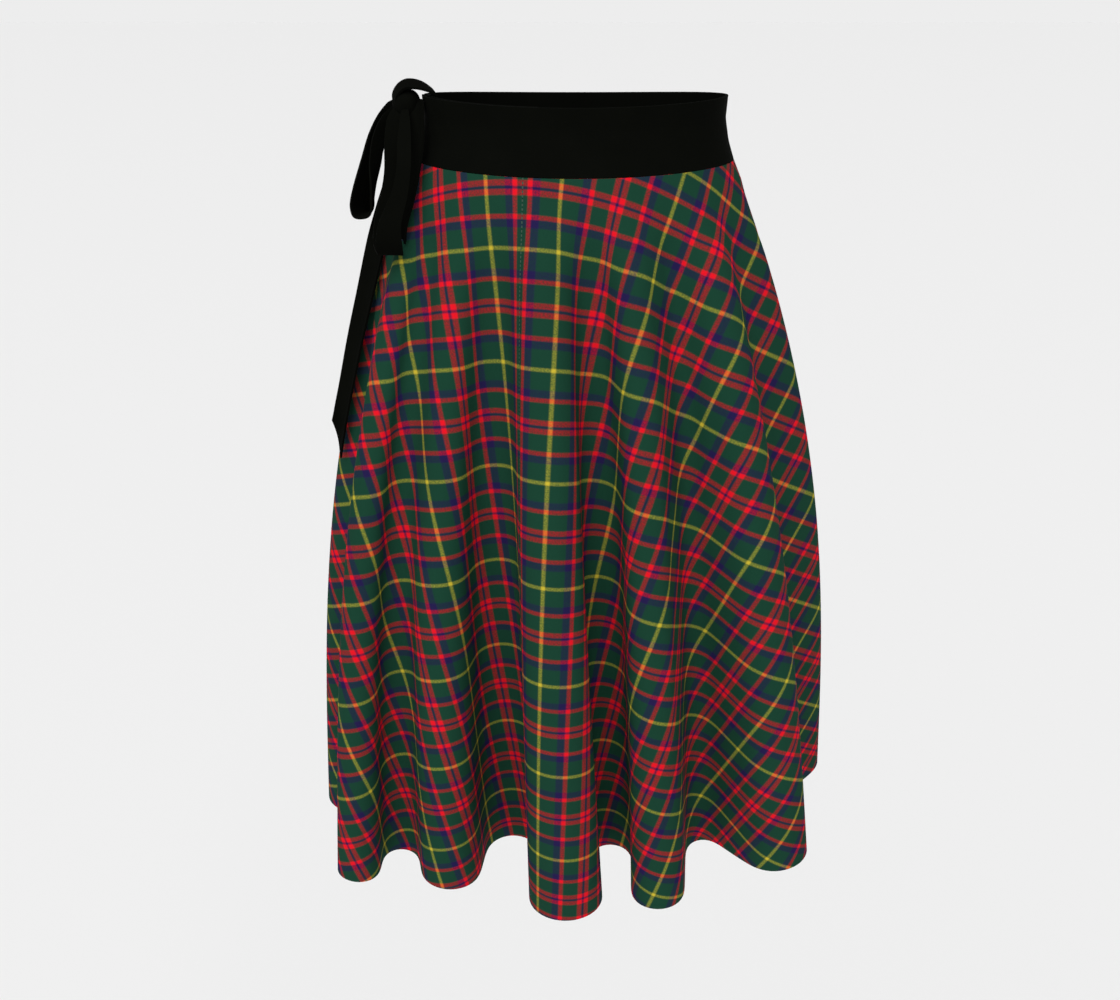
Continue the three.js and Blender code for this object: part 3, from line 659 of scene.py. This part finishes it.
# The knot: the ties pulled tight into a rounded block, with one strand wrapped round its middle.
KNOT_CENTRE = np.array([-134.0, -13.0, 23.0])
KNOT_HALF = np.array([10.0, 11.0, 10.8])
KNOT_SQUARENESS = 0.8
STRAND_SWELL = 0.14
STRAND_NARROWNESS = 2.4
END_TILT = 0.02
tilt = np.linspace(END_TILT, math.pi - END_TILT, 40)[:, None]
turn = np.linspace(0, 2 * math.pi, 72, endpoint=False)[None, :]
strand = 1 + STRAND_SWELL * np.exp(-((np.cos(tilt) * STRAND_NARROWNESS) ** 2))


def softened(value):
    """A sine or cosine made squarer, so that the knot is a rounded block."""
    return np.sign(value) * np.abs(value) ** KNOT_SQUARENESS


knot_points = np.stack(
    np.broadcast_arrays(
        KNOT_HALF[0] * strand * softened(np.sin(tilt) * np.cos(turn)),
        -KNOT_HALF[1] * softened(np.cos(tilt)),
        KNOT_HALF[2] * strand * softened(np.sin(tilt) * np.sin(turn)),
    ),
    axis=-1,
)
rows, columns = knot_points.shape[:2]
corner = np.arange(rows * columns).reshape(rows, columns)
beside = np.roll(corner, -1, axis=1)
quads = np.stack([corner[:-1], corner[1:], beside[1:], beside[:-1]], axis=-1).reshape(-1, 4).tolist()
faces = quads + [corner[0].tolist(), corner[-1][::-1].tolist()]
mesh = bpy.data.meshes.new("tie_knot")
mesh.from_pydata(((knot_points.reshape(-1, 3) + KNOT_CENTRE) / 1000).tolist(), [], faces)
knot = bpy.data.objects.new("tie_knot", mesh)
bpy.context.collection.objects.link(knot)
bpy.ops.object.select_all(action="DESELECT")
knot.select_set(True)
bpy.context.view_layer.objects.active = knot
bpy.ops.object.shade_smooth_by_angle(angle=math.radians(60))
knot.data.materials.append(black)
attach(knot, "root")
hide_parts("tie_knot")

# THE STUDIO
# A plain pale floor well below the hem, soft even light from all round and a large light above the camera.
floor_material, tree, output = new_material("pale_floor")
paint = add_node(tree, "ShaderNodeBsdfPrincipled", {"Base Color": linear("#EDEDED"), "Roughness": 0.9}, {})
tree.links.new(paint.outputs["BSDF"], output.inputs["Surface"])
bpy.ops.mesh.primitive_plane_add(size=600, location=(0, 0, -3.5))
floor = bpy.context.object
floor.name = "floor"
floor.data.materials.append(floor_material)

# The room lights the skirt dimly from above, and more from a bright band low round it.
# Seen by the camera it is pale all over.
world = bpy.data.worlds.new("studio")
bpy.context.scene.world = world
world.use_nodes = True
tree = world.node_tree
room = tree.nodes["Background"]
room.inputs["Color"].default_value = linear("#EDEDED")
direction = add_node(tree, "ShaderNodeTexCoord", {}, {})
height = add_node(tree, "ShaderNodeSeparateXYZ", {}, {"Vector": direction.outputs["Generated"]})
glow = add_node(tree, "ShaderNodeMapRange", {}, {"Value": height.outputs["Z"]})
for name, value in (("From Min", 0.02), ("From Max", 0.05), ("To Min", 1.0), ("To Max", 0.4)):
    glow.inputs[name].default_value = value
ray = add_node(tree, "ShaderNodeLightPath", {}, {})
seen = add_node(
    tree,
    "ShaderNodeMath",
    {"operation": "MAXIMUM"},
    {0: glow.outputs["Result"], 1: ray.outputs["Is Camera Ray"]},
)
tree.links.new(seen.outputs[0], room.inputs["Strength"])

bpy.ops.object.light_add(type="SUN", location=(-0.7, -2.2, 1.9))
key = bpy.context.object
key.name = "key_light"
key.data.angle = math.radians(60)
key.data.energy = 2.75
key.rotation_euler = (math.radians(38), 0, math.radians(-14))

# The photo's view: level with the rim, close in front, looking down.
SENSOR_WIDTH = 36
FOCAL_LENGTH_IN_WIDTHS = 1072 / 1120
LOOKS_DOWN = 24.7
tilted = math.radians(90 - LOOKS_DOWN)
bpy.ops.object.camera_add(location=(-0.012, -0.918, 0.094), rotation=(tilted, 0, 0))
camera = bpy.context.object
camera.data.sensor_width = SENSOR_WIDTH
camera.data.lens = SENSOR_WIDTH * FOCAL_LENGTH_IN_WIDTHS
camera.data.clip_start = 0.01
bpy.context.scene.camera = camera
bpy.context.scene.view_settings.view_transform = "Standard"
